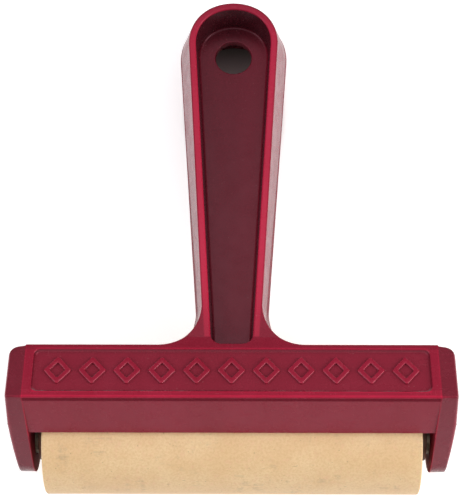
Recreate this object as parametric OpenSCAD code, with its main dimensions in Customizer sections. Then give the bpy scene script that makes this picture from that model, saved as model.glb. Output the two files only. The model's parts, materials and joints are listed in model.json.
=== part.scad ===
// Hand brayer: a rubber roller on a fixed axle, held by a one-piece moulded frame.
// Millimetres. The brayer lies as it rests on a bench: on its roller and on the handle's end.
// +X runs along the roller, +Y towards the handle's end, +Z up. The origin is on the bench,
// under the middle of the brayer's outer box.

/* [Roller] */
// Length of the rubber sleeve
sleeve_length = 101.6; // [100.6:0.2:102.2]
// Outer diameter of the rubber sleeve
sleeve_diameter = 31.75; // [30:0.25:32]
// Outer diameter of the tube inside the rubber
tube_diameter = 19.05; // [18.55:0.25:19.55]
// Inner diameter of that tube
tube_bore = 16; // [15.5:0.25:16.5]
// Diameter of the bushing's boss where it stands out of the rubber
boss_diameter = 13.2; // [12.6:0.2:14]
// How far the boss stands out of the rubber
boss_reach = 2; // [1.4:0.1:2.4]
// Length of the bushing inside the tube
bushing_length = 12; // [8:1:20]
// Diameter of the axle
axle_diameter = 9.5; // [9:0.1:9.8]
// Radial gap between axle and bushing
running_gap = 0.07; // [0.02:0.01:0.1]

/* [Crossbar] */
// Half length of the crossbar up to the ridge where the arms begin
bar_half_length = 54.05; // [53.9:0.05:54.3]
// Depth of the crossbar from front to back
bar_depth = 16.6; // [16.2:0.1:17]
// Height of the crossbar's front wall
bar_height = 17.5; // [16.8:0.1:17.8]
// Thickness of the crossbar's walls
bar_wall = 1.9; // [1.6:0.1:2.2]
// Thickness of the crossbar's top panel
panel_thickness = 2.2; // [1.8:0.1:2.6]
// Depth of the recess in the top panel
recess_depth = 0.7; // [0.4:0.1:1]
// Radius of the recess's corners
recess_corner = 1.8; // [0.8:0.1:2.2]
// Width of the land in front of the recess
front_land = 1.9; // [1.6:0.1:2.2]
// Width of the land behind the recess
back_land = 1.6; // [1.4:0.1:1.9]
// Width of the land at each end of the recess
end_land = 2.25; // [2:0.05:2.6]

/* [Relief] */
// Number of raised lozenges in the recess
lozenge_count = 11; // [7:2:11]
// Width of one lozenge
lozenge_width = 7.4; // [6:0.2:7.8]
// Height of one lozenge across the bar
lozenge_height = 8.8; // [7:0.2:9.4]
// Width of the lozenge's raised line
lozenge_line = 1.3; // [0.9:0.1:1.6]

/* [Arms] */
// Half distance between the arms' inner faces
arm_inner_half = 53.8; // [53.6:0.05:53.9]
// Half width over the arms at their widest
arm_outer_half = 59.2; // [58.7:0.1:59.6]
// Radius of the arm's lower end, about the axle
arm_end_radius = 9.6; // [9.2:0.1:9.9]
// How far the arm's front and top lean back on their way to the outer edge
arm_lean = 0.6; // [0.4:0.1:0.8]
// Rounding of the arm's outer edge
arm_edge = 0.9; // [0.6:0.1:1.1]
// Depth of the socket that holds the axle's end
socket_depth = 3; // [2.4:0.1:3.4]

/* [Handle] */
// Rise of the handle above the plane of the crossbar's top, in degrees
handle_rise = 16.3; // [14:0.1:18]
// Distance from the crossbar's front to the crease where the handle rises
crease_y = 18.9; // [18.4:0.1:19.4]
// Distance from the crease to the centre of the handle's round end
handle_reach = 88.3; // [80:0.5:95]
// Outer radius of the rim at the handle's round end
rim_end_radius = 12.75; // [12:0.25:13.5]
// Angle by which each side of the handle narrows towards the crossbar
side_taper = 3.4; // [3:0.1:3.8]
// Thickness of the rim
rim_wall = 2; // [1.6:0.1:2.4]
// How far the sides lean outwards from the rim to the parting line
flare = 2.3; // [1.8:0.1:2.6]
// The same, at the crossbar
neck_flare = 1.5; // [1:0.1:2.3]
// Depth of the channel in the top of the handle
channel_depth = 9.5; // [8:0.5:10]
// Thickness of the web between the two channels
web_thickness = 2.2; // [1.8:0.1:2.6]
// Depth of the handle at the crossbar
near_depth = 18; // [17:0.5:18.5]
// Depth of the handle at its round end
far_depth = 23; // [21:0.5:24]
// Radius of the fillets between handle and crossbar
neck_fillet = 11.4; // [9:0.2:12]
// Diameter of the hanging hole
hole_diameter = 10.4; // [8:0.2:11]

/* [Hidden] */
$fn = 96;
// Number of steps in the handle's end arc, an arm's end, a neck fillet and a channel corner
end_steps = 40;
arm_steps = 32;
fillet_steps = 24;
corner_steps = 6;
// Thickness of a hull's sheets, and how far a cut or a join runs past the faces it meets
skin = 0.02;
overcut = 1;
plastic = [0.62, 0.1, 0.19];

sleeve_radius = sleeve_diameter / 2;
axle_radius = axle_diameter / 2;
// Gaps between axle and socket: around it, and at its end
socket_gap = 0.05;
axle_end_gap = 0.2;

// The axle's place behind and below the crossbar's upper front edge
axle_y = 8.7;
axle_z = -32.9;

// The recess's place and size, the room left beside the row of lozenges, and how far the
// lozenges stay below the lands
recess_y = (bar_depth + front_land - back_land) / 2;
recess_width = bar_depth - front_land - back_land;
recess_length = 2 * (bar_half_length - end_land);
row_margin = 2;
relief_drop = 0.07;

// Handle sizes in its own tilted plane: s runs along the handle from the crease, t is normal to it
crease_half = (rim_end_radius - handle_reach * sin(side_taper)) / cos(side_taper);
channel_draft = 0.7;
overcut_draft = channel_draft * overcut / channel_depth;
channel_corner = 3;
channel_start = -2;
// How far the handle runs on under the crossbar's top, and the neck's block under the handle
root_overlap = 4;
block_overlap = 3;
parting_share = 0.56;
parting_near = near_depth * parting_share;
parting_far = channel_depth + web_thickness;
lower_slope = atan((far_depth - near_depth) / handle_reach);
parting_slope = atan((parting_far - parting_near) / handle_reach);

// The lowest point of the handle's end and its hindmost point, in the crossbar's frame
heel_s = handle_reach + rim_end_radius;
heel_t = -near_depth - heel_s * tan(lower_slope);
heel_y = crease_y + heel_s * cos(handle_rise) - heel_t * sin(handle_rise);
heel_z = heel_s * sin(handle_rise) + heel_t * cos(handle_rise);
back_s = handle_reach + rim_end_radius + flare;
back_t = -parting_near - back_s * tan(parting_slope);
back_y = crease_y + back_s * cos(handle_rise) - back_t * sin(handle_rise);
back_z = back_s * sin(handle_rise) + back_t * cos(handle_rise);

// The bench line touches the roller and the heel: this is its slope in the crossbar's frame
heel_distance = norm([heel_y - axle_y, heel_z - axle_z]);
lie = atan((heel_z - axle_z) / (heel_y - axle_y)) + asin(sleeve_radius / heel_distance);

// Where the axle and the handle's back come to rest, and the shift that centres the brayer
axle_rest_y = axle_y * cos(lie) + axle_z * sin(lie);
axle_rest_z = axle_z * cos(lie) - axle_y * sin(lie);
back_rest_y = back_y * cos(lie) + back_z * sin(lie);
centre_y = (axle_rest_y - sleeve_radius + back_rest_y) / 2;

// From the crossbar's frame to the resting brayer
module at_rest() {
    translate([0, -centre_y, sleeve_radius - axle_rest_z])
        rotate([-lie, 0, 0])
        children();
}

// From the axle's own frame, along X and centred on it, to the crossbar's frame
module on_axle() {
    translate([0, axle_y, axle_z])
        rotate([0, 90, 0])
        children();
}

// From the handle's tilted plane to the crossbar's frame
module on_handle() {
    translate([0, crease_y, 0])
        rotate([handle_rise, 0, 0])
        children();
}

function arc(centre, radius, from, to, steps) =
    [for (i = [0:steps]) let (a = from + (to - from) * i / steps)
        centre + radius * [cos(a), sin(a)]];

// Half width of the rim's outer edge at distance s from the crease
function rim_half(s) = crease_half + s * tan(side_taper);

// Outline of the handle, starting at distance start. It is grown outwards by near_grow at its
// start and by far_grow round its far end.
function handle_outline(near_grow, far_grow, start) =
    let (half = rim_half(start) + near_grow / cos(side_taper))
    concat(
        [[half, start]],
        arc([0, handle_reach], rim_end_radius + far_grow, -side_taper, 180 + side_taper, end_steps),
        [[-half, start]]);

// The same with rounded corners at its start, for a channel
function channel_outline(grow, start) =
    let (half = rim_half(start) + grow / cos(side_taper) - channel_corner)
    concat(
        arc([half, start + channel_corner], channel_corner, -90, 0, corner_steps),
        arc([0, handle_reach], rim_end_radius + grow, -side_taper, 180 + side_taper, end_steps),
        arc([-half, start + channel_corner], channel_corner, 180, 270, corner_steps));

// A thin sheet at depth t below the rim, tilted by slope
module sheet_at(t, slope, points) {
    translate([0, 0, t])
        rotate([-slope, 0, 0])
        linear_extrude(skin)
        polygon(points);
}

// Handle body: narrow at the rim, widest at the parting line, narrow again underneath
module handle_body() {
    hull() {
        sheet_at(-skin, 0, handle_outline(0, 0, -root_overlap));
        sheet_at(-parting_near, parting_slope, handle_outline(neck_flare, flare, -root_overlap));
        sheet_at(-near_depth, lower_slope, handle_outline(0, 0, -root_overlap));
    }
}

module upper_channel() {
    hull() {
        sheet_at(overcut, 0, channel_outline(overcut_draft - rim_wall, channel_start));
        sheet_at(-channel_depth, 0, channel_outline(-rim_wall - channel_draft, channel_start));
    }
}

module lower_channel() {
    hull() {
        sheet_at(-channel_depth - web_thickness, 0,
                 channel_outline(-rim_wall - channel_draft, channel_start));
        sheet_at(-near_depth - overcut, lower_slope,
                 channel_outline(overcut_draft - rim_wall, channel_start));
    }
}

module hanging_hole() {
    translate([0, handle_reach, -channel_depth - web_thickness - overcut])
        cylinder(h = web_thickness + 2 * overcut, d = hole_diameter);
}

// Plan of the neck, from distance low to high along the bent top surface.
// Its sides are arcs that leave the crossbar's back edge and run out along the handle.
module neck_plan(low, high) {
    centre_u = bar_depth + neck_fillet;
    centre_x = rim_half(centre_u - crease_y) + neck_fillet / cos(side_taper);
    right = arc([centre_x, centre_u], neck_fillet, 270, 180 - side_taper, fillet_steps);
    left = [for (i = [len(right) - 1:-1:0]) [-right[i][0], right[i][1]]];
    intersection() {
        polygon(concat(
            [[-centre_x, bar_depth - overcut], [centre_x, bar_depth - overcut]], right, left));
        translate([-bar_half_length, low])
            square([2 * bar_half_length, high - low]);
    }
}

module neck() {
    translate([0, 0, -bar_height])
        linear_extrude(bar_height)
        neck_plan(bar_depth - overcut, crease_y + block_overlap);
    on_handle()
        translate([0, -crease_y, -near_depth])
        linear_extrude(near_depth)
        neck_plan(crease_y - root_overlap, crease_y + 2 * neck_fillet);
}

// Side view of an arm, as wide as the crossbar and rounded about the axle, in the Y-Z plane
function arm_outline(inset) = concat(
    [[bar_depth - inset, -inset], [inset, -inset]],
    arc([axle_y, axle_z], arm_end_radius - inset, 180, 360, arm_steps));

// A slice of the arm on the side given as 1 or -1, between two distances from the middle
module arm_slice(side, near, far, inset) {
    translate([side > 0 ? near : -far, 0, 0])
        rotate([90, 0, 90])
        linear_extrude(far - near)
        polygon(arm_outline(inset));
}

// One arm: the full profile meets the crossbar, and the front and top lean back outwards
module arm(side) {
    facet_end = arm_outer_half - arm_edge;
    difference() {
        hull() {
            arm_slice(side, arm_inner_half, bar_half_length, 0);
            arm_slice(side, facet_end - skin, facet_end, arm_lean);
            arm_slice(side, arm_outer_half - skin, arm_outer_half, arm_lean + arm_edge);
        }
        on_axle()
            cylinder(h = 2 * (arm_inner_half + socket_depth), r = axle_radius + socket_gap,
                     center = true);
    }
}

module rounded_plan(length, depth, corner) {
    hull()
        for (x = [-1, 1], y = [-1, 1])
            translate([x * (length / 2 - corner), y * (depth / 2 - corner)])
            circle(r = corner, $fn = 32);
}

module lozenge() {
    half = [lozenge_width / 2, lozenge_height / 2];
    shrink = 1 - lozenge_line * norm(half) / (half[0] * half[1]);
    outer = [[half[0], 0], [0, half[1]], [-half[0], 0], [0, -half[1]]];
    difference() {
        polygon(outer);
        polygon(shrink * outer);
    }
}

// Crossbar: a hood over the roller, open below, with a recessed top panel
module crossbar() {
    hollow_height = bar_height - recess_depth - panel_thickness;
    pitch = (recess_length - 2 * row_margin) / lozenge_count;
    difference() {
        translate([-bar_half_length, 0, -bar_height])
            cube([2 * bar_half_length, bar_depth, bar_height]);
        translate([-arm_inner_half, bar_wall, -bar_height - overcut])
            cube([2 * arm_inner_half, bar_depth - 2 * bar_wall, hollow_height + overcut]);
        translate([0, recess_y, -recess_depth])
            linear_extrude(2 * recess_depth)
            rounded_plan(recess_length, recess_width, recess_corner);
    }
    for (i = [0:lozenge_count - 1])
        translate([(i - (lozenge_count - 1) / 2) * pitch, recess_y, -recess_depth - skin])
        linear_extrude(recess_depth + skin - relief_drop)
        lozenge();
}

module frame() {
    color(plastic)
    at_rest()
    union() {
        difference() {
            union() {
                crossbar();
                neck();
                on_handle() handle_body();
            }
            on_handle() {
                upper_channel();
                lower_channel();
                hanging_hole();
            }
        }
        arm(1);
        arm(-1);
    }
}

module axle() {
    half = arm_inner_half + socket_depth - axle_end_gap;
    color([0.66, 0.65, 0.62])
    at_rest()
    on_axle()
        cylinder(h = 2 * half, r = axle_radius, center = true);
}

// Bushing at the +X end: a plug inside the tube and a smaller boss outside it
module bushing() {
    color([0.36, 0.22, 0.17])
    at_rest()
    on_axle()
    difference() {
        union() {
            translate([0, 0, sleeve_length / 2 - bushing_length])
                cylinder(h = bushing_length, d = tube_bore);
            translate([0, 0, sleeve_length / 2 - overcut])
                cylinder(h = boss_reach + overcut, d = boss_diameter);
        }
        cylinder(h = sleeve_length, r = axle_radius + running_gap);
    }
}

module right_bushing() {
    bushing();
}

module left_bushing() {
    mirror([1, 0, 0]) bushing();
}

module core_tube() {
    color([0.72, 0.72, 0.7])
    at_rest()
    on_axle()
    difference() {
        cylinder(h = sleeve_length, d = tube_diameter, center = true);
        cylinder(h = sleeve_length + 2 * overcut, d = tube_bore, center = true);
    }
}

module rubber_sleeve() {
    color([0.87, 0.72, 0.5])
    at_rest()
    on_axle()
    difference() {
        cylinder(h = sleeve_length, d = sleeve_diameter, center = true);
        cylinder(h = sleeve_length + 2 * overcut, d = tube_diameter, center = true);
    }
}

frame();
axle();
left_bushing();
right_bushing();
core_tube();
rubber_sleeve();
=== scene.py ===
"""A hand brayer, at rest on its rubber roller and on the heel of its handle.

The moulded frame is built flat, as outlines stacked from its top face downwards, and is then bent
up at the crease where the handle leaves the crossbar. The parts of the roller are turned about the
axle. Lengths are millimetres while a mesh is being made, and metres in the finished pieces.
"""

import json
import math

import bmesh
import bpy
from mathutils import Matrix, Vector


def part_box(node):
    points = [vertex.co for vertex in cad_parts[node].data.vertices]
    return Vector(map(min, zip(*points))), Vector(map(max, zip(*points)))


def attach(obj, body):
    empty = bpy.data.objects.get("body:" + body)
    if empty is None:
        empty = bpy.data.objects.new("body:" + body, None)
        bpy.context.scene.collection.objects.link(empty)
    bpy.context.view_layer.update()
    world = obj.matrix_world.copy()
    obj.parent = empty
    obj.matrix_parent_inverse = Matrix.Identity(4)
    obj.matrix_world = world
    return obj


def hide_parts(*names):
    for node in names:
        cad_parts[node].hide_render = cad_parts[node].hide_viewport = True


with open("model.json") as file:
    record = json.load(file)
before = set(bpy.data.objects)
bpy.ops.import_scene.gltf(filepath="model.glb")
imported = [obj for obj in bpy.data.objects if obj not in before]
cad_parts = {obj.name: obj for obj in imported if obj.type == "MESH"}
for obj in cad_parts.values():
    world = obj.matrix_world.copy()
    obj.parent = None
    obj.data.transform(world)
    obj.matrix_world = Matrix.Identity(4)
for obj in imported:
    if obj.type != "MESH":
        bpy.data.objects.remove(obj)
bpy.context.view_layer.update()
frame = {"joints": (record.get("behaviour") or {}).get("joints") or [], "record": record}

MM = 0.001

# Crossbar: its top front edge is y = 0, its top is z = 0, and x runs along it
BAR_END = 53.95
BAR_DEPTH = 16.6
BAR_HEIGHT = 17.5
BAR_WALL = 1.9
PANEL = 2.2
RECESS_DEPTH = 0.7
RECESS_X = 51.8
RECESS_Y = (1.9, 15.0)
RECESS_CORNER = 1.8
RECESS_DRAFT = 0.45
RECESS_FILLET = 0.15
HOOD_INSET = 0.07
HOOD_DRAFT = 0.1
HOOD_FILLET = 0.8
EDGE = 0.45
SMALL_EDGE = 0.3

# Relief in the recess
LOZENGES = 11
LOZENGE_PITCH = 9.0545
LOZENGE_HALF = (3.7, 4.4)
LOZENGE_LINE = 1.3
LOZENGE_CORNERS = (0.6, 0.35)
RELIEF_DROP = 0.07
RELIEF_ROOT = 0.02
RELIEF_DRAFT = 0.06

# Arms
ARM_INNER = 53.8
ARM_RIDGE = 54.05
ARM_OUTER_TOP = 58.45
ARM_OUTER_PARTING = 59.16
ARM_OUTER_TIP = 57.9
ARM_PARTING_Z = -14.0
ARM_END_RADIUS = 9.85
ARM_LEAN = 0.6
ARM_FRONT_EDGE = 0.7
ARM_BACK_EDGE = 2.6
ARM_BACK_STEP = 0.4
ARM_BACK_LEAN = 0.2
ARM_TIP_EDGE = 0.15
AXLE_Y = 8.7
AXLE_Z = -32.9
SOCKET_DEPTH = 3.0
SOCKET_GAP = 0.05

# Handle: s runs along it from the crease, and its depths are below the rim
RISE = math.radians(16.3)
TAPER = math.radians(3.3)
CREASE = 18.9
CREASE_ROUNDING = 0.35
REACH = 88.5
RIM_RADIUS = 12.65
END_FULLNESS = 0.2
RIM_WALL = 2.0
FLARE_NEAR = 1.3
FLARE_FAR = 2.6
FLARE_RUN = 5.5
NECK_SWELL = 0.62
SWELL_RUN = (3.0, 15.0)
PARTING_NEAR = 10.08
PARTING_FAR = 11.7
CHANNEL_START = 16.9
CHANNEL_CORNER = 3.0
CHANNEL_DEPTH = 9.5
CHANNEL_DRAFT = 0.7
FLOOR_FILLET = 0.6
WEB_BOTTOM = 11.7
UNDERSIDE = 20.0
NEAR_DEPTH = 18.0
FAR_DEPTH = 23.0
NECK_FILLET = 11.4
BEND_END = 28.0
HOLE_RADIUS = 5.2

# Parting line's bead: in millimetres on the arms, and as a share of the flare on the handle
PARTING_BEAD = 0.04
BEAD_LEVELS = ((-0.15, 0), (-0.05, 1), (0.05, 1), (0.15, 0))

# Roller
AXLE_EDGE = 0.5
SLEEVE_EDGE = 0.5
TUBE_EDGE = 0.25
BUSHING_EDGE = 0.3
BUSHING_CLEARANCE = 0.07
BOSS_RADIUS = 6.6

# Painted light and shade on the crossbar's plastic by region, as brightness: a share of the plain
# plastic
FRONT_TONE = 0.85
FRONT_LAND_TONE = 1.2
FRONT_EDGE_HIGHLIGHT = 1.55
UNDER_EDGE_SHADE = 0.55
BACK_LAND_TONE = 0.85
LIP_HIGHLIGHT = 1.35
RECESS_TONE = 0.84
RECESS_SHADE = 0.78
RECESS_WALL_SHADE = 0.5
RELIEF_TONE = 1.05

# The same for the arms
ARM_SHADE = 0.55
ARM_EDGE_HIGHLIGHT = 1.5
ARM_TIP_SHADE = 0.6
RIDGE_HIGHLIGHT = 1.4
GAP_SHADE = 0.35

# The same for the handle. The rim's tones are painted light at the neck, a little way up where it
# is brightest, and at its end.
RIM_LIGHT_TONES = (1.3, 1.75, 1.4)
RIM_TIP_SHADE = 0.65
RIM_EDGE_SHADE = 0.55
SIDE_SHADE = 0.55
CHANNEL_WALL_SHADE = 0.06
WEB_SHADE = 0.48
WEB_END_SHADE = 0.35

# Gloss of the plastic by region. SIDE_GLOSS is low on the handle's sides, and at the rim.
TOP_GLOSS = 0.5
FRONT_GLOSS = 0.15
RIM_GLOSS = 0.3
SIDE_GLOSS = (0.36, 0.66)
LIP_GLOSS = 0.15
LINE_GLOSS = 0.02

RIM_AT_CREASE = (RIM_RADIUS - REACH * math.sin(TAPER)) / math.cos(TAPER)
NECK_U = BAR_DEPTH + NECK_FILLET


def smoothstep(low, high, value):
    t = min(1.0, max(0.0, (value - low) / (high - low)))
    return t * t * (3 - 2 * t)


def lerp(a, b, t):
    return a + (b - a) * t


# ----------------------------------------------------------
# Outlines: a list of samples (x, u, normal x, normal u) that can be grown along their normals
# ----------------------------------------------------------


def arc(centre, radius, start, end, steps, facing=1):
    """Samples of an arc between two angles in degrees. facing is -1 where the arc is hollow."""
    samples = []
    for i in range(steps + 1):
        angle = math.radians(lerp(start, end, i / steps))
        c, s = math.cos(angle), math.sin(angle)
        samples.append((centre[0] + radius * c, centre[1] + radius * s, facing * c, facing * s))
    return samples


def both_sides(right):
    """An outline from its right half, which ends on the centre line."""
    left = [(-x, u, -nx, nu) for x, u, nx, nu in reversed(right[:-1])]
    return right + left


def rounded_polygon(corners, radius, steps):
    """Outline of a convex polygon, given anticlockwise, with rounded corners."""
    samples = []
    for i, corner in enumerate(corners):
        p = Vector(corner)
        before = (p - Vector(corners[i - 1])).normalized()
        after = (Vector(corners[(i + 1) % len(corners)]) - p).normalized()
        n1 = Vector((before.y, -before.x))
        n2 = Vector((after.y, -after.x))
        centre = p - (n1 + n2) * radius / (1 + n1.dot(n2))
        start = math.degrees(math.atan2(n1.y, n1.x))
        turn = math.degrees(math.acos(max(-1.0, min(1.0, n1.dot(n2)))))
        samples += arc(centre, radius, start, start + turn, steps)
    return samples


def rim_half(s):
    """Half width of the handle's rim at distance s from the crease."""
    return RIM_AT_CREASE + s * math.tan(TAPER)


def far_end(radius):
    """Half of the handle's far end: an arc that is a little fuller between its side and its tip."""
    samples = []
    for x, u, nx, nu in arc((0, CREASE + REACH), radius, -math.degrees(TAPER), 90, 30):
        fuller = END_FULLNESS * (2 * nx * nu) ** 2
        samples.append((x + fuller * nx, u + fuller * nu, nx, nu))
    return samples


def body_outline():
    """The crossbar and the handle in one outline, with a fillet in each inner corner."""
    fillet_x = rim_half(NECK_U - CREASE) + NECK_FILLET / math.cos(TAPER)
    taper = math.degrees(TAPER)
    right = [(BAR_END, 0, 0, -1), (BAR_END, BAR_DEPTH, 0, 1)]
    right += arc((fillet_x, NECK_U), NECK_FILLET, 270, 180 - taper, 20, facing=-1)
    return both_sides(right + far_end(RIM_RADIUS))


def channel_outline():
    """The inner edge of the rim, which starts in the crossbar with two round corners."""
    taper = math.degrees(TAPER)
    corner_u = CHANNEL_START + CHANNEL_CORNER
    corner_x = rim_half(corner_u - CREASE) - (RIM_WALL + CHANNEL_CORNER) / math.cos(TAPER)
    right = arc((corner_x, corner_u), CHANNEL_CORNER, 270, 360 - taper, 8)
    return both_sides(right + far_end(RIM_RADIUS - RIM_WALL))


def hole_outline():
    return arc((0, CREASE + REACH), HOLE_RADIUS, 0, 360, 64)[:-1]


def recess_outline():
    low, high = RECESS_Y
    corners = [(-RECESS_X, low), (RECESS_X, low), (RECESS_X, high), (-RECESS_X, high)]
    return rounded_polygon(corners, RECESS_CORNER, 6)


def hood_outline():
    """The hood's hollow. Its ends lie inside the arms, so only its long sides have normals."""
    end = BAR_END - HOOD_INSET
    far = BAR_DEPTH - BAR_WALL
    return [(-end, BAR_WALL, 0, -1), (end, BAR_WALL, 0, -1), (end, far, 0, 1), (-end, far, 0, 1)]


# ----------------------------------------------------------
# Stacks of loops: each is an outline grown by some amount at some level below the top face
# ----------------------------------------------------------


def loop(samples, grow, level):
    """One loop of points. grow and level are numbers, or functions of the distance u."""
    points = []
    for x, u, nx, nu in samples:
        g = grow(u) if callable(grow) else grow
        depth = level(u) if callable(level) else level
        points.append((x + g * nx, u + g * nu, -depth))
    return points


def quarter(radius, steps=4):
    """Steps of a quarter round, from a flat face to a wall: (distance in, distance down)."""
    angles = [math.pi / 2 * i / steps for i in range(steps + 1)]
    return [(radius * (1 - math.sin(a)), radius * (1 - math.cos(a))) for a in angles]


def add_skin(bm, loops, closed=False):
    """Quads between the loops, one after the other. Returns their rows of vertices."""
    rows = [[bm.verts.new(p) for p in points] for points in loops]
    pairs = list(zip(rows, rows[1:]))
    if closed:
        pairs.append((rows[-1], rows[0]))
    for a, b in pairs:
        for i in range(len(a)):
            bm.faces.new((a[i - 1], a[i], b[i], b[i - 1]))
    return rows


def add_cap(bm, *rows):
    """Fills the flat face that the first row encloses, leaving out the rows inside it."""
    edges = []
    for row in rows:
        for i in range(len(row)):
            edge = bm.edges.get((row[i - 1], row[i])) or bm.edges.new((row[i - 1], row[i]))
            edges.append(edge)
    bmesh.ops.triangle_fill(bm, edges=edges, use_beauty=True)


def parting_level(u):
    """Depth of the parting line, which drops slowly along the handle."""
    return lerp(PARTING_NEAR, PARTING_FAR, max(0.0, u - CREASE) / REACH)


def flare(u):
    """How far the handle's side stands out at the parting line. It dies out along the fillet."""
    along = lerp(FLARE_NEAR, FLARE_FAR, max(0.0, u - CREASE) / REACH)
    swell = NECK_SWELL * (1 - smoothstep(SWELL_RUN[0], SWELL_RUN[1], u - CREASE))
    return (along + swell) * smoothstep(BAR_DEPTH, BAR_DEPTH + FLARE_RUN, u)


def outer_loops(outline):
    """Outside wall: rounded edge, wall down to the parting line, wall to the rounded underside."""
    loops = [loop(outline, -d, depth) for d, depth in quarter(EDGE)]
    for offset, share in BEAD_LEVELS:
        grow = lambda u, share=share: flare(u) * (1 + share * PARTING_BEAD)
        level = lambda u, offset=offset: parting_level(u) + offset
        loops.append(loop(outline, grow, level))
    loops += [loop(outline, -d, UNDERSIDE - depth) for d, depth in reversed(quarter(EDGE))]
    return loops


def pocket(outline, mouth, floor, draft, edge, fillet):
    """Loops of a pocket from its mouth to its floor, which may lie above or below the mouth."""
    way = 1 if floor > mouth else -1
    loops = [loop(outline, d, mouth + way * depth) for d, depth in quarter(edge)]
    steps = 4
    for i in range(steps + 1):
        angle = math.pi / 2 * i / steps
        inwards = draft + fillet * (1 - math.cos(angle))
        height = fillet * (1 - math.sin(angle))
        loops.append(loop(outline, -inwards, floor - way * height))
    return loops


def recess_loops():
    return pocket(recess_outline(), 0, RECESS_DEPTH, RECESS_DRAFT, SMALL_EDGE, RECESS_FILLET)


def channel_loops(mouth, floor):
    return pocket(channel_outline(), mouth, floor, CHANNEL_DRAFT, EDGE, FLOOR_FILLET)


def hood_loops():
    floor = RECESS_DEPTH + PANEL
    return pocket(hood_outline(), UNDERSIDE, floor, HOOD_DRAFT, SMALL_EDGE, HOOD_FILLET)


def through(outline, top, bottom, edge):
    """Loops of a hole from one face to the other, with a small rounding at both."""
    loops = [loop(outline, d, top + depth) for d, depth in quarter(edge, 3)]
    loops += [loop(outline, d, bottom - depth) for d, depth in reversed(quarter(edge, 3))]
    return loops


# ----------------------------------------------------------
# Bending the flat stack up at the crease
# ----------------------------------------------------------


def underside_depth(u):
    """Depth of the underside: level on the crossbar, and deeper towards the handle's end."""
    if u <= BAR_DEPTH:
        return BAR_HEIGHT
    if u <= CREASE:
        return lerp(BAR_HEIGHT, NEAR_DEPTH, (u - BAR_DEPTH) / (CREASE - BAR_DEPTH))
    return lerp(NEAR_DEPTH, FAR_DEPTH, (u - CREASE) / REACH)


def bend(point):
    """From the flat stack to the crossbar's frame. Levels below the web stretch to fit."""
    x, u, level = point[0], point[1], -point[2]
    half = CREASE_ROUNDING
    past = u - CREASE
    risen = max(0.0, past) if abs(past) >= half else (past + half) ** 2 / (4 * half)
    depth = level
    if level > WEB_BOTTOM:
        share = (level - WEB_BOTTOM) / (UNDERSIDE - WEB_BOTTOM)
        depth = lerp(WEB_BOTTOM, underside_depth(u), share)
    tilt = RISE * smoothstep(BAR_DEPTH, BEND_END, u)
    y = u - (1 - math.cos(RISE)) * risen + depth * math.sin(tilt)
    z = math.sin(RISE) * risen - depth * math.cos(tilt)
    return Vector((x, y, z))


def bend_lines():
    """Distances at which the flat stack is cut so that it can bend."""
    steps = 10
    lines = [lerp(BAR_DEPTH, BEND_END, i / steps) for i in range(steps + 1)]
    return lines + [CREASE - CREASE_ROUNDING, CREASE, CREASE + CREASE_ROUNDING]


def crossbar_and_handle():
    """The whole moulding except for its arms and its relief."""
    bm = bmesh.new()
    outer = add_skin(bm, outer_loops(body_outline()))
    recess = add_skin(bm, recess_loops())
    upper = add_skin(bm, channel_loops(0, CHANNEL_DEPTH))
    lower = add_skin(bm, channel_loops(UNDERSIDE, WEB_BOTTOM))
    hood = add_skin(bm, hood_loops())
    hole = add_skin(bm, through(hole_outline(), CHANNEL_DEPTH, WEB_BOTTOM, SMALL_EDGE))
    add_cap(bm, outer[0], recess[0], upper[0])
    add_cap(bm, recess[-1])
    add_cap(bm, upper[-1], hole[0])
    add_cap(bm, lower[-1], hole[-1])
    add_cap(bm, hood[-1])
    add_cap(bm, outer[-1], lower[0], hood[0])
    for u in bend_lines():
        geometry = bm.verts[:] + bm.edges[:] + bm.faces[:]
        bmesh.ops.bisect_plane(bm, geom=geometry, dist=1e-5, plane_co=(0, u, 0), plane_no=(0, 1, 0))
    for vertex in bm.verts:
        vertex.co = bend(vertex.co)
    return bm


# ----------------------------------------------------------
# Relief and arms
# ----------------------------------------------------------


def relief():
    """A row of raised lozenge outlines that stands on the floor of the recess."""
    bm = bmesh.new()
    a, b = LOZENGE_HALF
    shrink = 1 - LOZENGE_LINE * math.hypot(a, b) / (a * b)
    top = RELIEF_DROP
    foot = RECESS_DEPTH + RELIEF_ROOT
    edge = quarter(SMALL_EDGE, 3)
    for i in range(LOZENGES):
        x = (i - (LOZENGES - 1) / 2) * LOZENGE_PITCH
        y = sum(RECESS_Y) / 2
        rings = []
        for scale, rounding in zip((1, shrink), LOZENGE_CORNERS):
            wide, tall = a * scale, b * scale
            corners = [(x, y - tall), (x + wide, y), (x, y + tall), (x - wide, y)]
            rings.append(rounded_polygon(corners, rounding, 4))
        outside = [loop(rings[0], RELIEF_DRAFT, foot)]
        outside += [loop(rings[0], -d, top + depth) for d, depth in reversed(edge)]
        inside = [loop(rings[1], d, top + depth) for d, depth in edge]
        inside.append(loop(rings[1], -RELIEF_DRAFT, foot))
        add_skin(bm, outside + inside, closed=True)
    return bm


def rounded_inset(radius, to_face):
    """How far a rounded edge has drawn in at a distance from the face that it rounds into."""
    if to_face >= radius:
        return 0.0
    return radius - math.sqrt(max(0.0, radius ** 2 - (radius - to_face) ** 2))


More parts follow.
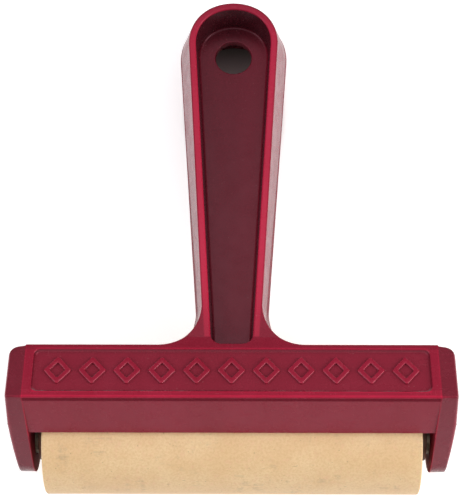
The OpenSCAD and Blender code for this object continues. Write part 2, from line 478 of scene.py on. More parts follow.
def arm_ring(front, back, top, tip):
    """Side view of the arm as (y, z) points, drawn in by insets at its four sides."""
    side_heights = [-2, -8] + [ARM_PARTING_Z - offset for offset, share in BEAD_LEVELS] + [-20, -26]
    front_side = []
    back_side = []
    for d, depth in quarter(EDGE):
        z = -top - depth
        front_side.append((front_y(z) + front + d, z))
        back_side.append((back_y(z) - back - d, z))
    for z in side_heights:
        front_side.append((front_y(z) + front, z))
        back_side.append((back_y(z) - back, z))
    steps = 32
    for i in range(steps // 2 + 1):
        turn = math.pi * i / steps
        share = smoothstep(0, 0.5, 2 * i / steps)
        for side, points, inset in ((-1, front_side, front), (1, back_side, back)):
            radius = ARM_END_RADIUS - lerp(inset, tip, share)
            y = AXLE_Y + side * radius * math.cos(turn)
            points.append((y, AXLE_Z - radius * math.sin(turn)))
    return front_side, back_side[:-1]


def front_y(z):
    """The arm's front edge, which slopes down to its round end."""
    return (AXLE_Y - ARM_END_RADIUS) * z / AXLE_Z


def back_y(z):
    return lerp(BAR_DEPTH, AXLE_Y + ARM_END_RADIUS, z / AXLE_Z)


def arm_outer_x(z):
    """The arm's outer face leans out to the parting line and in again below it."""
    bead = PARTING_BEAD if abs(z - ARM_PARTING_Z) < 0.1 else 0.0
    if z > ARM_PARTING_Z:
        return lerp(ARM_OUTER_TOP, ARM_OUTER_PARTING, z / ARM_PARTING_Z) + bead
    tip = AXLE_Z - ARM_END_RADIUS
    share = (ARM_PARTING_Z - z) / (ARM_PARTING_Z - tip)
    return lerp(ARM_OUTER_PARTING, ARM_OUTER_TIP, share * share) + bead


def arm_stations():
    """From the inner face to the outer one: where each ring lies, and its four insets."""
    inner_edge = 0.25
    hairline = 0.01
    ridge_width = 0.25
    step_inset = 0.03
    layers = (2.3, 1.85, 1.45, 1.15, 0.9, 0.7, 0.52, 0.36, 0.22, 0.11, 0.03, 0)
    stations = []
    for depth in (0, 0.05, 0.12, 0.2):
        inset = hairline + rounded_inset(inner_edge, depth)
        stations.append((lambda z, depth=depth: ARM_INNER + depth, inset, inset, hairline, inset))
    stations.append((lambda z: ARM_RIDGE, hairline, hairline, hairline, hairline))
    past_ridge = lambda z: ARM_RIDGE + ridge_width
    stations.append((past_ridge, step_inset, ARM_BACK_STEP, step_inset, hairline))
    for to_face in layers:
        share = 1 - to_face / (ARM_OUTER_PARTING - ARM_RIDGE)
        front = ARM_LEAN * share + rounded_inset(ARM_FRONT_EDGE, to_face)
        back = ARM_BACK_STEP + ARM_BACK_LEAN * share + rounded_inset(ARM_BACK_EDGE, to_face)
        tip = rounded_inset(ARM_TIP_EDGE, to_face)
        place = lambda z, to_face=to_face: arm_outer_x(z) - to_face
        stations.append((place, front, back, front, tip))
    return stations


def arm(side):
    """One arm of the frame, on the side given as 1 or -1."""
    bm = bmesh.new()
    rings = []
    for place, front, back, top, tip in arm_stations():
        front_side, back_side = arm_ring(front, back, top, tip)
        ring = front_side + back_side[::-1]
        rings.append([(side * place(z), y, z) for y, z in ring])
    rows = add_skin(bm, rings)
    for row in (rows[0], rows[-1]):
        for i in range(len(row) // 2):
            bm.faces.new(sorted_quad(row, i))
    return bm


def sorted_quad(row, i):
    """The face between one rung of an arm's ring and the next. The last one is a triangle."""
    n = len(row)
    corners = [row[i], row[i + 1], row[n - 2 - i], row[n - 1 - i]]
    return corners if i + 1 < n - 2 - i else [row[i], row[i + 1], row[n - 1 - i]]


# ----------------------------------------------------------
# Turned parts, about the axle
# ----------------------------------------------------------


def add_turned(bm, profile, steps=128, solid=False):
    """Revolves a profile of (x, radius) points. A solid one has its ends closed by flat caps."""
    angles = [2 * math.pi * i / steps for i in range(steps)]
    circle = [(math.cos(a), math.sin(a)) for a in angles]
    loops = []
    for x, radius in profile:
        loops.append([(x, AXLE_Y + radius * c, AXLE_Z + radius * s) for c, s in circle])
    rows = add_skin(bm, loops, closed=not solid)
    if solid:
        bm.faces.new(rows[0])
        bm.faces.new(rows[-1])
    return rows


def turned(profile, steps=128, solid=False):
    bm = bmesh.new()
    add_turned(bm, profile, steps, solid)
    return bm


# ----------------------------------------------------------
# From meshes in millimetres to pieces in the row frame
# ----------------------------------------------------------


def resting_matrix():
    """From the crossbar's frame to the row frame, by way of the axle and the handle's slope."""
    axle = Vector(frame["joints"][0]["pos_m"])
    normal = Vector(frame["record"]["mounts"][0]["axis"])
    lie = RISE + math.asin(normal.y)
    to_axle = Matrix.Translation((0, -AXLE_Y, -AXLE_Z))
    return Matrix.Translation(axle) @ Matrix.Scale(MM, 4) @ Matrix.Rotation(-lie, 4, "X") @ to_axle


def make_object(name, bm):
    """An object from a closed mesh, still in millimetres."""
    bmesh.ops.remove_doubles(bm, verts=bm.verts, dist=1e-4)
    bmesh.ops.recalc_face_normals(bm, faces=bm.faces)
    mesh = bpy.data.meshes.new(name)
    bm.to_mesh(mesh)
    bm.free()
    piece = bpy.data.objects.new(name, mesh)
    bpy.context.scene.collection.objects.link(piece)
    return piece


def apply_modifiers(piece):
    graph = bpy.context.evaluated_depsgraph_get()
    mesh = bpy.data.meshes.new_from_object(piece.evaluated_get(graph))
    piece.modifiers.clear()
    piece.data = mesh


def combine(piece, tool, operation):
    """Joins the tool to the piece, or cuts it away, and removes the tool."""
    modifier = piece.modifiers.new("combine", "BOOLEAN")
    modifier.operation = operation
    modifier.solver = "EXACT"
    modifier.object = tool
    apply_modifiers(piece)
    bpy.data.objects.remove(tool)


def finish_piece(piece, body, material, nodes, sharp=35):
    """Moves a piece to the row frame, shades it, and gives it its material, slot and body."""
    mesh = piece.data
    mesh.transform(resting_matrix())
    mesh.shade_smooth()
    mesh.set_sharp_from_angle(angle=math.radians(sharp))
    weighted = piece.modifiers.new("weighted", "WEIGHTED_NORMAL")
    weighted.keep_sharp = True
    apply_modifiers(piece)
    piece.data.materials.clear()
    piece.data.materials.append(material)
    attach(piece, body)
    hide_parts(*nodes)
    return piece


# ----------------------------------------------------------
# Materials
# ----------------------------------------------------------


def srgb(red, green, blue):
    """A colour in 0 to 255 as linear values."""
    linear = []
    for value in (red, green, blue):
        c = value / 255
        linear.append(c / 12.92 if c <= 0.04045 else ((c + 0.055) / 1.055) ** 2.4)
    return (*linear, 1)


class Shader:
    """A node material, with short calls for the nodes it needs. Scales are per millimetre."""

    def __init__(self, name):
        self.material = bpy.data.materials.new(name)
        self.material.use_nodes = True
        self.tree = self.material.node_tree
        self.surface = self.tree.nodes["Principled BSDF"]
        self.place = self.tree.nodes.new("ShaderNodeTexCoord").outputs["Object"]

    def node(self, kind, **values):
        made = self.tree.nodes.new(kind)
        for name, value in values.items():
            setattr(made, name, value)
        return made

    def put(self, value, socket):
        """Links a socket, or sets a plain value."""
        if isinstance(value, bpy.types.NodeSocket):
            self.tree.links.new(value, socket)
        else:
            socket.default_value = value

    def space(self, stretch=(1, 1, 1), about=(0, 0, 0)):
        """Object coordinates in millimetres, stretched about a point in metres."""
        moved = self.node("ShaderNodeVectorMath", operation="SUBTRACT")
        self.put(self.place, moved.inputs[0])
        self.put(about, moved.inputs[1])
        scaled = self.node("ShaderNodeVectorMath", operation="MULTIPLY")
        self.put(moved.outputs[0], scaled.inputs[0])
        self.put([s / MM for s in stretch], scaled.inputs[1])
        return scaled.outputs[0]

    def noise(self, scale, detail=2.0, rough=0.5, space=None):
        made = self.node("ShaderNodeTexNoise")
        self.put(space or self.space(), made.inputs["Vector"])
        self.put(scale, made.inputs["Scale"])
        self.put(detail, made.inputs["Detail"])
        self.put(rough, made.inputs["Roughness"])
        return made.outputs["Fac"]

    def cells(self, scale, space=None):
        """Distance from the nearest of many scattered points."""
        made = self.node("ShaderNodeTexVoronoi")
        self.put(space or self.space(), made.inputs["Vector"])
        self.put(scale, made.inputs["Scale"])
        return made.outputs["Distance"]

    def nearness(self, distance, inside=False):
        """How much of the piece itself is near, in millimetres: in corners, or inside on edges."""
        made = self.node("ShaderNodeAmbientOcclusion", samples=8, only_local=True, inside=inside)
        self.put(distance * MM, made.inputs["Distance"])
        return self.maths("SUBTRACT", 1, made.outputs["AO"])

    def span(self, value, low, high, to_low=0.0, to_high=1.0):
        """Maps low..high to to_low..to_high, smoothly and clamped."""
        made = self.node("ShaderNodeMapRange", interpolation_type="SMOOTHSTEP")
        self.put(value, made.inputs["Value"])
        self.put(low, made.inputs["From Min"])
        self.put(high, made.inputs["From Max"])
        self.put(to_low, made.inputs["To Min"])
        self.put(to_high, made.inputs["To Max"])
        return made.outputs["Result"]

    def band(self, value, start, full_from, full_to, end):
        """1 between the two inner limits, and 0 outside the outer ones."""
        rise = self.span(value, start, full_from)
        fall = self.span(value, full_to, end, 1, 0)
        return self.product(rise, fall)

    def maths(self, operation, a, b):
        made = self.node("ShaderNodeMath", operation=operation)
        self.put(a, made.inputs[0])
        self.put(b, made.inputs[1])
        return made.outputs[0]

    def product(self, *values):
        result = values[0]
        for value in values[1:]:
            result = self.maths("MULTIPLY", result, value)
        return result

    def mix(self, share, a, b):
        """The colour a where share is 0, and b where it is 1."""
        made = self.node("ShaderNodeMix", data_type="RGBA")
        self.put(share, made.inputs[0])
        self.put(a, made.inputs[6])
        self.put(b, made.inputs[7])
        return made.outputs[2]

    def blend_values(self, share, a, b):
        """The value a where share is 0, and b where it is 1."""
        made = self.node("ShaderNodeMix", data_type="FLOAT")
        self.put(share, made.inputs[0])
        self.put(a, made.inputs[2])
        self.put(b, made.inputs[3])
        return made.outputs[0]

    def scaled(self, colour, value):
        made = self.node("ShaderNodeVectorMath", operation="SCALE")
        self.put(colour, made.inputs[0])
        self.put(value, made.inputs["Scale"])
        return made.outputs[0]

    def bump(self, height, distance, strength=1.0, below=None):
        """Bump from a 0 to 1 height that stands for a distance in millimetres."""
        made = self.node("ShaderNodeBump")
        self.put(strength, made.inputs["Strength"])
        self.put(distance * MM, made.inputs["Distance"])
        self.put(height, made.inputs["Height"])
        if below is not None:
            self.put(below, made.inputs["Normal"])
        return made.outputs["Normal"]

    def set(self, **values):
        """Sets inputs of the surface: base_color stands for Base Color."""
        for name, value in values.items():
            title = name.replace("_", " ").title().replace("Ior", "IOR")
            self.put(value, self.surface.inputs[title])
        return self.material


def place_in(s, matrix):
    """Three coordinates in a frame of their own: matrix turns the row frame into it."""
    shift, turn, scale = matrix.decompose()
    placed = s.node("ShaderNodeMapping", vector_type="POINT")
    s.put(s.place, placed.inputs["Vector"])
    s.put(shift, placed.inputs["Location"])
    s.put(turn.to_euler(), placed.inputs["Rotation"])
    s.put(scale, placed.inputs["Scale"])
    parts = s.node("ShaderNodeSeparateXYZ")
    s.put(placed.outputs[0], parts.inputs[0])
    return parts.outputs["X"], parts.outputs["Y"], parts.outputs["Z"]


def from_rim(s, out, along):
    """Distance across from the rim's outer edge: 0 on the edge, and negative inside it."""
    past_end = s.maths("MAXIMUM", s.maths("SUBTRACT", along, REACH), 0)
    squares = s.maths("ADD", s.product(out, out), s.product(past_end, past_end))
    widening = s.product(s.maths("MINIMUM", along, REACH), math.tan(TAPER))
    edge = s.maths("ADD", widening, RIM_AT_CREASE)
    return s.maths("SUBTRACT", s.maths("POWER", squares, 0.5), edge)


# ----------------------------------------------------------
# Regions of the frame's plastic, and the light and shade painted on them
# ----------------------------------------------------------

# In the crossbar's frame, back is the distance behind the front wall and height is measured from
# the top. In the handle's frame, along runs from the crease and above is measured from the rim. In
# both, x is the distance to the right of the middle, and across is the same without its sign.


def on_front_edge(s, back):
    """The crossbar's rounded front edge and all that lies in front of it."""
    return s.span(back, 0.4, 0.7, 1, 0)


def under_front_edge(s, across, back, height):
    """A dark line of painted shade on the crossbar's front wall, just under its top edge."""
    on_bar = s.span(across, ARM_RIDGE - 0.2, ARM_RIDGE, 1, 0)
    line = s.band(height, -2.3, -1.7, -0.7, -0.45)
    return s.product(on_front_edge(s, back), line, on_bar)


def in_gap(s, across, height):
    """Where an arm faces the end of the roller."""
    below_bar = s.span(height, -19, -18, 1, 0)
    return s.product(s.span(across, ARM_RIDGE - 0.1, ARM_RIDGE, 1, 0), below_bar)


def on_recess_floor(s, across, back, height):
    """The floor of the recess, between and around the relief."""
    near_side, far_side = RECESS_Y
    between_sides = s.band(back, near_side, near_side + 0.4, far_side - 0.4, far_side)
    between_ends = s.span(across, RECESS_X - 0.4, RECESS_X, 1, 0)
    at_floor = s.band(height, -1.2, -1.0, -0.5, -0.35)
    return s.product(at_floor, between_ends, between_sides)


def on_recess_lip(s, across, back, height):
    """The rounded upper edge of the recess, along its two long sides."""
    near_side, far_side = RECESS_Y
    near_lip = s.band(back, near_side - 0.6, near_side - 0.3, near_side, near_side + 0.15)
    far_lip = s.band(back, far_side - 0.15, far_side, far_side + 0.3, far_side + 0.6)
    between_ends = s.span(across, RECESS_X - 0.5, RECESS_X, 1, 0)
    at_top = s.span(height, -0.35, -0.2)
    return s.product(s.maths("MAXIMUM", far_lip, near_lip), at_top, between_ends)


def top_tones(s, back, height):
    """Painted light and shade on the crossbar's front wall, lands and recess, as brightness, with
    painted shade on the recess's walls.
    """
    near_side, far_side = RECESS_Y
    tone = s.span(back, 0.1, 0.5, FRONT_TONE, FRONT_LAND_TONE)
    recess = s.span(height, -0.5, -0.3, RECESS_TONE, RELIEF_TONE)
    tone = s.blend_values(s.span(back, near_side, near_side + 0.5), tone, recess)
    tone = s.blend_values(s.span(back, far_side - 0.2, far_side), tone, BACK_LAND_TONE)
    between_levels = s.band(height, -0.6, -0.5, -0.3, -0.15)
    on_wall = s.product(between_levels, s.span(back, near_side - 0.4, near_side))
    return s.blend_values(on_wall, tone, RECESS_WALL_SHADE)


def arm_tones(s, across, height):
    """Painted shade over an arm, as brightness, with a painted highlight on its outer edge and
    deeper painted shade towards its tip.
    """
    edge_highlight = ARM_SHADE * ARM_EDGE_HIGHLIGHT
    tone = s.span(across, ARM_OUTER_TIP, ARM_OUTER_TIP + 0.8, ARM_SHADE, edge_highlight)
    towards_tip = s.span(height, -43, -28, 1, 0)
    return s.product(tone, s.blend_values(towards_tip, 1, ARM_TIP_SHADE))


def bar_tones(s, across, back, height):
    """Painted light and shade on the crossbar and arms, as brightness."""
    on_arm = s.span(across, ARM_RIDGE - 0.1, ARM_RIDGE + 0.1)
    tone = s.blend_values(on_arm, top_tones(s, back, height), arm_tones(s, across, height))
    on_ridge = s.band(across, ARM_RIDGE - 0.35, ARM_RIDGE, ARM_RIDGE, ARM_RIDGE + 0.35)
    far_recess = s.product(s.span(height, -0.5, -0.3, 1, 0), s.span(back, 13.6, 14.4))
    front_edge = s.product(on_front_edge(s, back), s.span(height, -0.6, -0.35))
    # Painted highlights on the ridge where crossbar meets arm, on the recess's lips and on the
    # front edge; painted shade in the gap at the roller, at the recess's far side, and in a line
    # under the front edge.
    accents = [
        (on_ridge, RIDGE_HIGHLIGHT),
        (in_gap(s, across, height), GAP_SHADE),
        (far_recess, RECESS_SHADE),
        (on_recess_lip(s, across, back, height), LIP_HIGHLIGHT),
        (front_edge, FRONT_EDGE_HIGHLIGHT),
        (under_front_edge(s, across, back, height), UNDER_EDGE_SHADE),
    ]
    for share, accent in accents:
        tone = s.product(tone, s.blend_values(share, 1, accent))
    return tone


def rim_tones(s, along, within):
    """Painted light on the rim, brightest a little way up from the neck, with painted shade at its
    tip and along its outer edge.
    """
    brightest_at = 14
    at_neck, rubbed_and_lit, at_end = RIM_LIGHT_TONES
    tone = s.span(along, 0, brightest_at, at_neck, rubbed_and_lit)
    fading = s.span(along, brightest_at, 100, 1, at_end / rubbed_and_lit)
    tip = s.span(along, REACH, REACH + RIM_RADIUS, 1, RIM_TIP_SHADE)
    edge = s.span(within, -0.6, -0.1, 1, RIM_EDGE_SHADE)
    return s.product(tone, fading, tip, edge)


def channel_tones(s, x, along, above):
    """Painted light and shade in the channel: its walls are dark, and its floor is lighter on the
    right and towards the bar, and darker past the hole.
    """
    across_web = s.span(x, -8, 8, 0.8, 1.25)
    along_web = s.span(along, 0, 85, 1.2, 0.85)
    past_hole = s.span(along, REACH, REACH + 9, 1, WEB_END_SHADE)
    web = s.product(WEB_SHADE, across_web, along_web, past_hole)
    to_web = s.span(above, 0.2 - CHANNEL_DEPTH, 1 - CHANNEL_DEPTH, 1, 0)
    return s.blend_values(to_web, CHANNEL_WALL_SHADE, web)


def inside_channel(s, along, within, below_rim):
    """Inside the handle's upper channel, on its walls and on the web."""
    inner = s.span(within, -0.6 * RIM_WALL, -0.4 * RIM_WALL, 1, 0)
    start = CHANNEL_START - CREASE
    return s.product(below_rim, inner, s.span(along, start - 0.4, start))


def at_parting_line(s, along, within):
    """Along the line where the handle's sides stand out furthest."""
    past_side = s.maths("SUBTRACT", within, s.span(along, 0, REACH, FLARE_NEAR, FLARE_FAR))
    return s.span(past_side, -0.35, -0.1)


def frame_regions(s):
    """By region: the plastic's painted light and shade as brightness, its gloss, its painted grey
    haze, the channel and the gaps.
    """
    to_bar = resting_matrix().inverted()
    back, height = place_in(s, to_bar)[1:]
    to_rim = Matrix.Rotation(-RISE, 4, "X") @ Matrix.Translation((0, -CREASE, 0)) @ to_bar
    x, along, above = place_in(s, to_rim)
    across = s.maths("ABSOLUTE", x, 0)
    within = from_rim(s, across, along)
    on_handle = s.span(along, -0.3, 0.3)
    below_rim = s.span(above, -0.8, -0.3, 1, 0)
    on_rim = s.product(on_handle, s.maths("SUBTRACT", 1, below_rim))
    channel = inside_channel(s, along, within, below_rim)

    # Painted shade on the handle: its sides are darker than the plain plastic.
    tone = s.blend_values(on_handle, bar_tones(s, across, back, height), SIDE_SHADE)
    tone = s.blend_values(channel, tone, channel_tones(s, x, along, above))
    tone = s.blend_values(on_rim, tone, rim_tones(s, along, within))

    facing_front = s.maths("MAXIMUM", s.span(back, 0.4, 1.0, 1, 0), s.span(height, -18, -16, 1, 0))
    side_gloss = s.span(above, -10, -0.5, SIDE_GLOSS[0], SIDE_GLOSS[1])
    gloss = s.blend_values(on_handle, TOP_GLOSS, side_gloss)
    gloss = s.blend_values(on_rim, gloss, RIM_GLOSS)
    gloss = s.blend_values(facing_front, gloss, FRONT_GLOSS)
    gloss = s.blend_values(under_front_edge(s, across, back, height), gloss, LINE_GLOSS)
    gloss = s.blend_values(on_recess_lip(s, across, back, height), gloss, LIP_GLOSS)
    parting = s.product(below_rim, on_handle, at_parting_line(s, along, within))
    gloss = s.blend_values(parting, gloss, LINE_GLOSS)

    # Painted reflection haze: greyer in the channel, on the arms and on the recess floor.
    channel_haze = s.product(channel, s.span(along, 0, 90, 0.1, 0.02))
    arm_haze = s.span(across, ARM_RIDGE, ARM_RIDGE + 0.2, 0, 0.1)
    recess_haze = s.product(on_recess_floor(s, across, back, height), 0.07)
    painted_haze = s.maths("ADD", s.maths("ADD", channel_haze, arm_haze), recess_haze)
    return tone, gloss, painted_haze, channel, in_gap(s, across, height)


def scuff_marks(s, wide):
    """Fine scratches along and across the brayer, in patches of a wide noise."""
    long_scuffs = s.noise(1.0, detail=2, space=s.space(stretch=(4.0, 0.25, 0.25)))
    cross_scuffs = s.noise(1.0, detail=2, space=s.space(stretch=(0.18, 3.4, 3.4)))
    scuffs = s.maths("MAXIMUM", s.span(long_scuffs, 0.68, 0.78), s.span(cross_scuffs, 0.69, 0.79))
    return s.product(scuffs, s.span(wide, 0.4, 0.65))


def moulded_plastic():
    """Dark red semi-gloss plastic with flow marks, fine scuffs and dust, painted highlights on its
    edges, painted shade in its corners and a painted grey haze.
    """
    s = Shader("frame_plastic")
    tone, gloss, painted_haze, channel, gap = frame_regions(s)
    flow = s.noise(0.05, detail=3, space=s.space(stretch=(1, 0.35, 0.35)))
    colour = s.mix(s.span(flow, 0.35, 0.65), srgb(143, 22, 46), srgb(150, 27, 52))
    # Scales by the painted light and shade, and mixes in the painted grey haze.
    colour = s.mix(painted_haze, s.scaled(colour, tone), srgb(150, 95, 105))
    # Painted highlight: convex edges are mixed towards a bright red, less inside the channel.
    edges = s.span(s.nearness(0.7, inside=True), 0.15, 0.6, 0, 0.6)
    edges = s.product(edges, s.blend_values(channel, 1, 0.25))
    colour = s.mix(edges, colour, srgb(206, 30, 66))
    # Painted shade: concave corners and creases are darkened.
    corners = s.span(s.nearness(0.8), 0.1, 0.7, 1, 0.55)
    colour = s.scaled(colour, corners)
    grain = s.noise(3.0, detail=3)
    colour = s.mix(s.span(grain, 0.35, 0.7, 0, 0.12), colour, srgb(190, 60, 85))
    wide = s.noise(0.25, detail=4, rough=0.6)
    scuffs = scuff_marks(s, wide)
    colour = s.mix(s.product(scuffs, 0.25), colour, srgb(196, 110, 122))
    dust = s.span(s.cells(0.45), 0.0, 0.07, 1, 0)
    colour = s.mix(s.product(dust, 0.5), colour, srgb(205, 150, 150))
    roughness = s.maths("ADD", s.span(wide, 0.3, 0.7, 0.2, 0.3), s.product(scuffs, 0.2))
    roughness = s.blend_values(gap, roughness, 0.75)
    normal = s.bump(s.noise(0.12, detail=2), 0.05, 0.5)
    normal = s.bump(s.noise(4.5, detail=3), 0.012, 0.6, below=normal)
    normal = s.bump(scuffs, 0.01, 0.5, below=normal)
    return s.set(base_color=colour, roughness=roughness, normal=normal, ior=1.55,
                 specular_ior_level=gloss, specular_tint=(1, 0.5, 0.6, 1))


def gum_rubber(axle):
    """Tan gum rubber: warm and slightly mottled, with fine specks and faint inky smudges."""
    s = Shader("roller_rubber")
    around = s.space(about=axle)
    mottle = s.noise(0.09, detail=4, rough=0.55, space=around)
    colour = s.mix(s.span(mottle, 0.3, 0.7), srgb(238, 200, 152), srgb(246, 213, 167))
    fine = s.noise(1.6, detail=4, rough=0.7, space=around)
    colour = s.mix(s.span(fine, 0.35, 0.7, 0, 0.4), colour, srgb(212, 166, 112))
    blush = s.noise(0.7, detail=3, rough=0.6, space=around)
    colour = s.mix(s.span(blush, 0.5, 0.75, 0, 0.3), colour, srgb(238, 184, 150))
    smudges = s.noise(0.16, detail=5, rough=0.65, space=s.space(stretch=(1, 0.6, 0.6), about=axle))
    streaks = s.noise(0.5, detail=4, rough=0.6, space=s.space(stretch=(0.25, 1.6, 1.6), about=axle))
    marks = s.product(s.span(smudges, 0.52, 0.74), s.span(streaks, 0.42, 0.66))
    colour = s.mix(s.product(marks, 0.6), colour, srgb(160, 138, 112))
    specks = s.span(s.cells(0.5, space=around), 0.0, 0.12, 1, 0)
    colour = s.mix(s.product(specks, 0.6), colour, srgb(138, 104, 70))
    hairs = s.noise(1.0, detail=2, space=s.space(stretch=(0.3, 2.2, 2.2), about=axle))
    hairs = s.product(s.span(hairs, 0.7, 0.76), s.span(mottle, 0.45, 0.6))
    colour = s.mix(s.product(hairs, 0.6), colour, srgb(150, 118, 84))
    roughness = s.span(mottle, 0.3, 0.7, 0.5, 0.66)
    turned_marks = s.noise(1.0, detail=3, space=s.space(stretch=(3.5, 0.3, 0.3), about=axle))
    normal = s.bump(turned_marks, 0.02, 0.5)
    normal = s.bump(fine, 0.03, 0.6, below=normal)
    return s.set(base_color=colour, roughness=roughness, normal=normal, ior=1.5,
                 subsurface_weight=0.05)


def satin_bushing(axle):
    """Dark brown satin plastic with fine turned marks and rubbed patches."""
    s = Shader("bushing_plastic")
    around = s.space(about=axle)
    tone = s.noise(0.4, detail=3, space=around)
    colour = s.mix(s.span(tone, 0.3, 0.7), srgb(100, 62, 46), srgb(118, 76, 58))
    rubbed_and_lit = s.noise(1.4, detail=4, rough=0.65, space=around)
    colour = s.mix(s.span(rubbed_and_lit, 0.6, 0.75, 0, 0.4), colour, srgb(150, 112, 90))
    marks = s.noise(1.0, detail=2, space=s.space(stretch=(6.0, 0.5, 0.5), about=axle))
    roughness = s.span(tone, 0.3, 0.7, 0.42, 0.58)
    normal = s.bump(marks, 0.02, 0.6)
    return s.set(base_color=colour, roughness=roughness, normal=normal)


def metal(name, axle, dull, bright, rough_low, rough_high):
    """Drawn or turned metal with rings round the axle and dull stains."""
    s = Shader(name)
    rings = s.noise(1.0, detail=3, space=s.space(stretch=(9.0, 0.4, 0.4), about=axle))
    stains = s.noise(0.35, detail=4, rough=0.6, space=s.space(about=axle))
    colour = s.mix(s.span(stains, 0.35, 0.7), bright, dull)
    colour = s.mix(s.span(rings, 0.3, 0.8, 0, 0.25), colour, dull)
    roughness = s.span(stains, 0.3, 0.7, rough_low, rough_high)
    normal = s.bump(rings, 0.01, 0.6)
    return s.set(base_color=colour, metallic=1.0, roughness=roughness, normal=normal)


# ----------------------------------------------------------
# Pieces
# ----------------------------------------------------------


def socket_cutter(side):
    """The blind socket for the axle's end in one arm, with a small lead-in."""
    low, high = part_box("axle")
    radius = (high.z - low.z) / 2 / MM + SOCKET_GAP
    lead = 0.3
    inner = ARM_INNER - 1
    mouth = ARM_INNER
    end = ARM_INNER + SOCKET_DEPTH
    profile = [(inner, radius + lead + 1), (mouth, radius + lead)]
    profile += [(mouth + lead, radius), (end, radius)]
    return turned([(side * x, r) for x, r in profile], 64, solid=True)


def make_frame(material):
    """The one-piece moulding: crossbar, handle, both arms and the relief."""
    piece = make_object("frame_moulding", crossbar_and_handle())
    combine(piece, make_object("relief", relief()), "UNION")
    for side in (1, -1):
        blank = make_object("arm", arm(side))
        combine(blank, make_object("socket", socket_cutter(side)), "DIFFERENCE")
        combine(piece, blank, "UNION")
    return finish_piece(piece, "frame", material, ["frame"])


def turned_size(node):
    """Half length and radius of a CAD node that is round about the axle, in millimetres."""
    low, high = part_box(node)
    return (high.x - low.x) / 2 / MM, (high.z - low.z) / 2 / MM


def rounded_ends(half, radius, edge, steps=4):
    """Profile of a cylinder with rounded edges, from the left end to the right one."""
    left = [(-half + depth, radius - d) for d, depth in quarter(edge, steps)]
    return left + [(-x, r) for x, r in reversed(left)]


def make_axle(material):
    half, radius = turned_size("axle")
    piece = make_object("axle_rod", turned(rounded_ends(half, radius, AXLE_EDGE), solid=True))
    return finish_piece(piece, "frame", material, ["axle"])


def make_tube(material, outer, bore):
    half = turned_size("core_tube")[0]
    edge = TUBE_EDGE
    inside = [(half, bore + edge), (half - edge, bore), (-half + edge, bore), (-half, bore + edge)]
    piece = make_object("core_tube_drawn", turned(rounded_ends(half, outer, edge, 2) + inside))
    return finish_piece(piece, "roller", material, ["core_tube"])


def make_sleeve(material, bore):
    half, radius = turned_size("rubber_sleeve")
    profile = rounded_ends(half, radius, SLEEVE_EDGE) + [(half, bore), (-half, bore)]
    piece = make_object("rubber_roller", turned(profile, steps=192))
    return finish_piece(piece, "roller", material, ["rubber_sleeve"])


def make_bushing(side, material, tube_bore):
    """One bushing: a plug in the tube, and a boss that stands out of the rubber."""
    node = "right_bushing" if side > 0 else "left_bushing"
    low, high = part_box(node)
    near, far = sorted((abs(low.x) / MM, abs(high.x) / MM))
    face = turned_size("core_tube")[0]
    bore = turned_size("axle")[1] + BUSHING_CLEARANCE
    boss = BOSS_RADIUS
    edge = BUSHING_EDGE
    profile = [(near, bore + edge), (near + edge, bore), (far - edge, bore), (far, bore + edge)]
    profile += [(far - depth, boss - d) for d, depth in quarter(edge, 3)]
    profile += [(face, boss), (face, tube_bore - edge), (face - edge, tube_bore)]
    profile += [(near + edge, tube_bore), (near, tube_bore - edge)]
    piece = make_object(node + "_turned", turned([(side * x, r) for x, r in profile]))
    return finish_piece(piece, "roller", material, [node])


def make_brayer():
    axle = frame["joints"][0]["pos_m"]
    tube_bore = turned_size("right_bushing")[1]
    tube_outer = turned_size("core_tube")[1]
    make_frame(moulded_plastic())
    steel = metal("axle_steel", axle, srgb(92, 78, 66), srgb(140, 124, 108), 0.4, 0.55)
    drawn = metal("tube_metal", axle, srgb(150, 150, 148), srgb(205, 205, 202), 0.3, 0.5)
    make_axle(steel)
    make_tube(drawn, tube_outer, tube_bore)
    make_sleeve(gum_rubber(axle), tube_outer)
    bushing = satin_bushing(axle)
    for side in (1, -1):
        make_bushing(side, bushing, tube_bore)


# ----------------------------------------------------------
# Stage, lights and camera
# ----------------------------------------------------------

# Floor, in metres. Its shade under the handle is an ellipse with half axes in millimetres.
FLOOR_SIZE = 3.0
FLOOR_GLOW = 0.42
GLOW_FADE = (-0.17, -0.09)
SHADE_CENTRE = (0, 0.044, 0)
SHADE_HALF = (16, 30)
SHADE_EDGE = 0.75
SHADE_FADE = (0.053, 0.066)

# Light from around, which grows between the two heights in RISING. BACKDROP is what is seen.
RISING = (0.3, 0.9)
HORIZON = 0.06
OVERHEAD = 0.75
BACKDROP = 0.9


def floor_material():
    """Near white, with a faint glow that fades in front, and darker in the handle's deep shade."""
    s = Shader("floor")
    parts = s.node("ShaderNodeSeparateXYZ")
    s.put(s.place, parts.inputs[0])
    y = parts.outputs["Y"]
    under_handle = s.node("ShaderNodeVectorMath", operation="LENGTH")
    stretch = (1 / SHADE_HALF[0], 1 / SHADE_HALF[1], 0)
    s.put(s.space(stretch=stretch, about=SHADE_CENTRE), under_handle.inputs[0])
    in_the_open = s.span(under_handle.outputs["Value"], SHADE_EDGE, 1.0)
    shaded = s.mix(s.span(y, SHADE_FADE[0], SHADE_FADE[1]), srgb(190, 178, 180), srgb(90, 88, 84))
    colour = s.mix(in_the_open, shaded, srgb(247, 247, 248))
    glow = s.product(s.span(y, GLOW_FADE[0], GLOW_FADE[1], 0, FLOOR_GLOW), in_the_open)
    s.set(base_color=colour, roughness=0.7)
    return s.set(emission_color=(1, 1, 1, 1), emission_strength=glow)


def make_floor():
    """A plain pale sheet under the brayer."""
    bm = bmesh.new()
    bmesh.ops.create_grid(bm, x_segments=2, y_segments=2, size=FLOOR_SIZE)
    mesh = bpy.data.meshes.new("floor")
    bm.to_mesh(mesh)
    bm.free()
    floor = bpy.data.objects.new("floor", mesh)
    bpy.context.scene.collection.objects.link(floor)
    mesh.materials.append(floor_material())


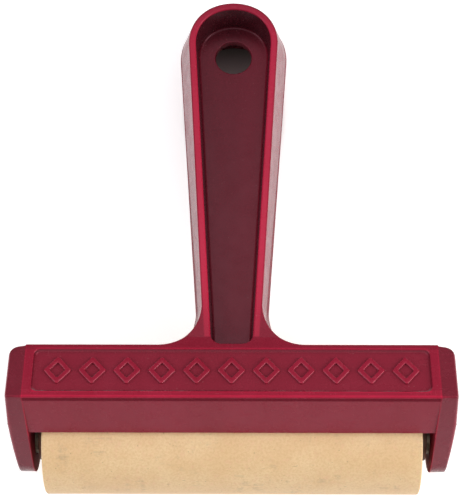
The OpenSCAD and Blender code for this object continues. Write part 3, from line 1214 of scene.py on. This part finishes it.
def make_light(name, place, target, size, power, colour=(1, 1, 1)):
    """A soft rectangular light that faces the target."""
    data = bpy.data.lights.new(name, "AREA")
    data.shape = "RECTANGLE"
    data.size = size[0]
    data.size_y = size[1]
    data.energy = power
    data.color = colour
    lamp = bpy.data.objects.new(name, data)
    lamp.location = place
    lamp.rotation_euler = (Vector(target) - Vector(place)).to_track_quat("-Z", "Y").to_euler()
    bpy.context.scene.collection.objects.link(lamp)


def make_surroundings():
    """Light from overhead that fades towards the horizon, behind a plain pale backdrop."""
    world = bpy.data.worlds.new("surroundings")
    bpy.context.scene.world = world
    world.use_nodes = True
    tree = world.node_tree
    direction = tree.nodes.new("ShaderNodeTexCoord").outputs["Generated"]
    split = tree.nodes.new("ShaderNodeSeparateXYZ")
    tree.links.new(direction, split.inputs[0])
    height = tree.nodes.new("ShaderNodeMapRange")
    height.interpolation_type = "SMOOTHSTEP"
    height.inputs["From Min"].default_value = RISING[0]
    height.inputs["From Max"].default_value = RISING[1]
    height.inputs["To Min"].default_value = HORIZON
    height.inputs["To Max"].default_value = OVERHEAD
    tree.links.new(split.outputs["Z"], height.inputs["Value"])
    seen = tree.nodes.new("ShaderNodeMix")
    seen.inputs["B"].default_value = BACKDROP
    rays = tree.nodes.new("ShaderNodeLightPath")
    tree.links.new(rays.outputs["Is Camera Ray"], seen.inputs["Factor"])
    tree.links.new(height.outputs["Result"], seen.inputs["A"])
    background = tree.nodes["Background"]
    background.inputs["Color"].default_value = (1, 0.99, 0.985, 1)
    tree.links.new(seen.outputs["Result"], background.inputs["Strength"])


def make_lights():
    centre = (0, -0.01, 0.03)
    make_light("left_light", (-0.75, -0.1, 0.4), centre, (0.5, 0.6), 3.2, (0.93, 0.96, 1))
    make_light("right_light", (0.75, -0.1, 0.4), centre, (0.5, 0.6), 5, (1, 0.97, 0.94))
    make_light("front_light", (0, -0.5, 0.75), centre, (0.7, 0.4), 0.4)
    make_light("back_light", (0, 0.45, 0.8), centre, (0.6, 0.3), 0.42)


def make_camera():
    """Looks down at the crossbar's front, as the photographer did."""
    size = (462, 500)
    focal_pixels = 1622.5
    forward = Vector((-0.0107, 0.2081, -0.9780)).normalized()
    roll = math.radians(0.2)
    data = bpy.data.cameras.new("camera")
    data.sensor_width = 36
    data.lens = data.sensor_width * focal_pixels / max(size)
    data.clip_start = 0.01
    camera = bpy.data.objects.new("camera", data)
    right = forward.cross(Vector((0, 1, 0))).normalized()
    up = right.cross(forward)
    turned_up = up * math.cos(roll) - right * math.sin(roll)
    turned_right = forward.cross(turned_up)
    turn = Matrix((turned_right, turned_up, -forward)).transposed()
    camera.matrix_world = Matrix.Translation((0.00435, -0.0967, 0.4639)) @ turn.to_4x4()
    bpy.context.scene.collection.objects.link(camera)
    bpy.context.scene.camera = camera


bpy.context.scene.view_settings.view_transform = "Standard"
make_brayer()
make_floor()
make_surroundings()
make_lights()
make_camera()
